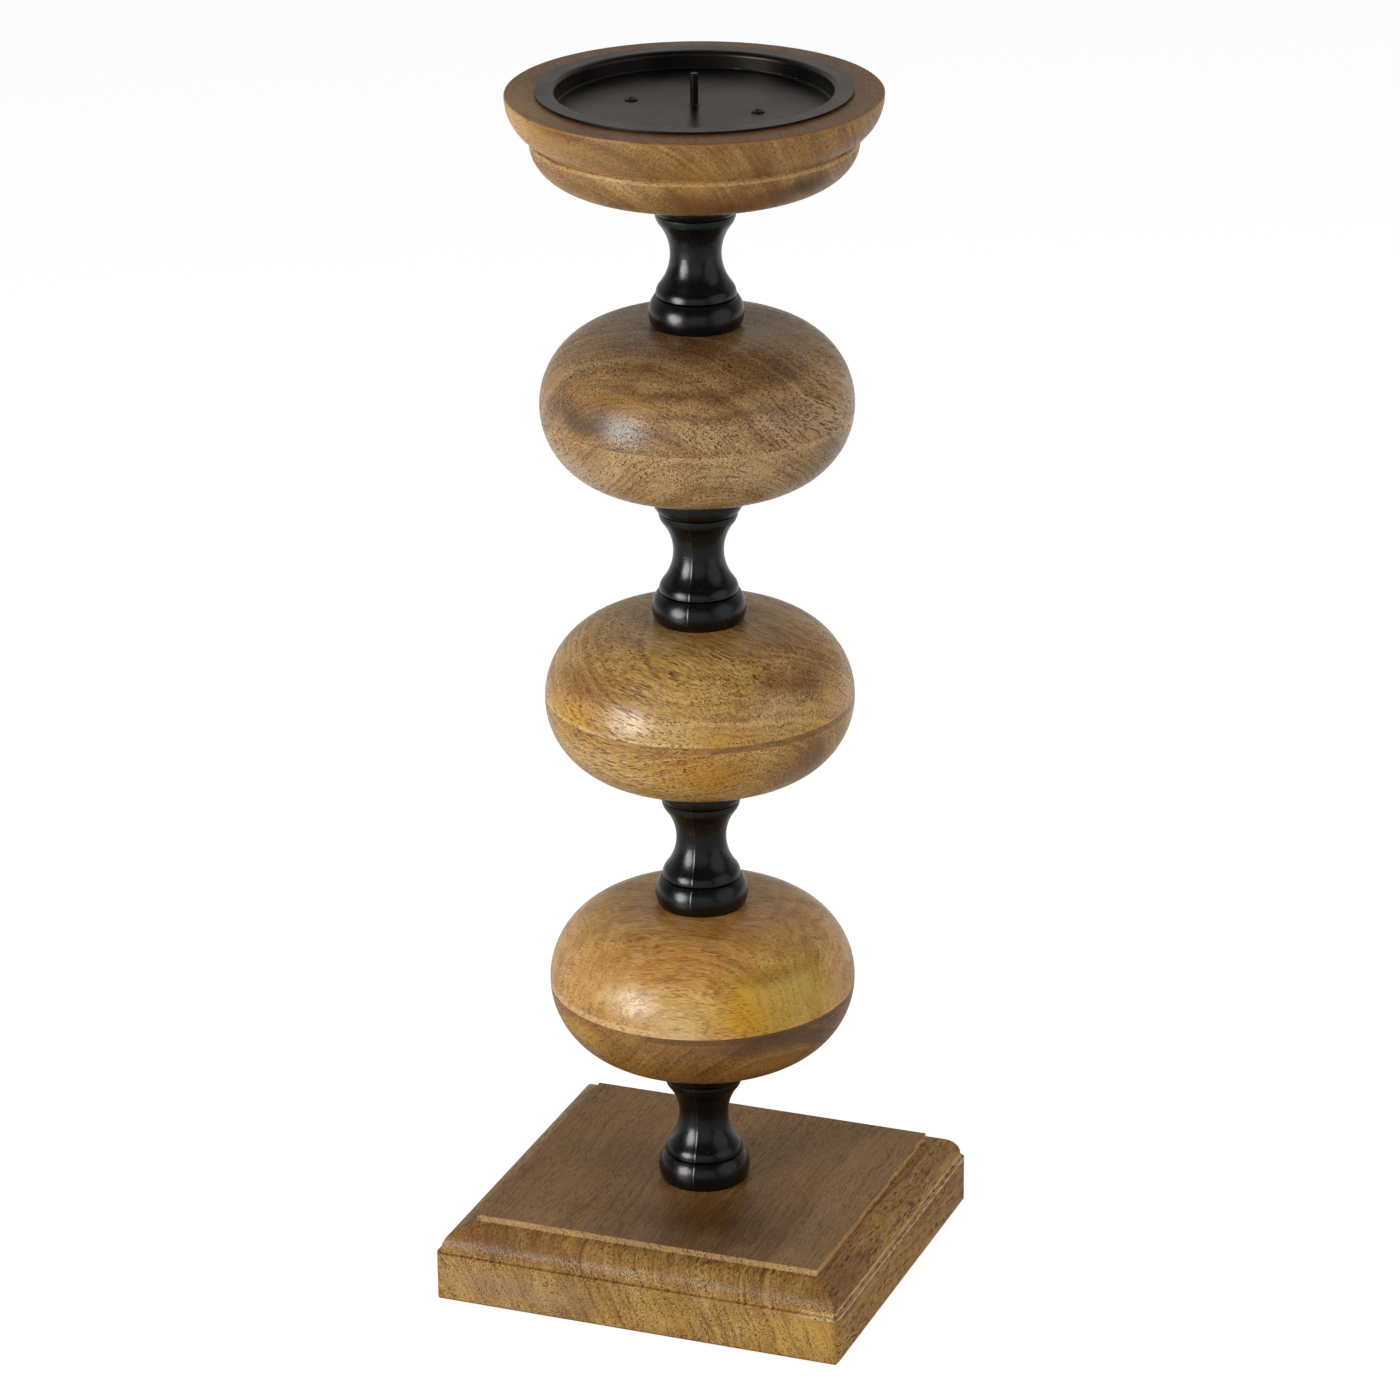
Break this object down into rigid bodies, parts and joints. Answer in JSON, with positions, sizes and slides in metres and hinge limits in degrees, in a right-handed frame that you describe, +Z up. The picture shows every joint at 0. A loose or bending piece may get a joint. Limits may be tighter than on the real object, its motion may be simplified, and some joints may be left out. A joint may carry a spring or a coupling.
{
  "type": "pricket candle stand",
  "caption": "Tall wooden candle stand with flattened turned balls between black cast spacers, a moulded base and a black pan with a spike.",
  "frame": {"origin": "centre of the base on the surface that the felt pads rest on", "axes": "+Z up along the rod, +X and +Y along the two sides of the base board, +X across its wider way"},
  "size_m": [0.16, 0.148, 0.464],
  "materials": {
    "turned_wood": "satin lacquer",
    "base_wood": "satin lacquer",
    "black_casting": "satin gloss",
    "black_sheet": "satin",
    "zinc_steel": "zinc plated",
    "black_felt": "matte"
  },
  "bodies": {
    "root": {"base_board": "base_wood", "felt_pads": "black_felt", "threaded_rod": "zinc_steel", "base_washer": "zinc_steel", "base_nut": "zinc_steel", "cup_washer": "zinc_steel", "cup_nut": "zinc_steel", "cup": "turned_wood", "pan": "black_sheet", "spike": "black_sheet", "pan_screws": "black_sheet", "spacer_1": "black_casting", "spacer_2": "black_casting", "spacer_3": "black_casting", "spacer_4": "black_casting", "ball_1_lower_half": "turned_wood", "ball_1_upper_half": "turned_wood", "ball_2_lower_half": "turned_wood", "ball_2_upper_half": "turned_wood", "ball_3_lower_half": "turned_wood", "ball_3_upper_half": "turned_wood"}
  },
  "joints": []
}
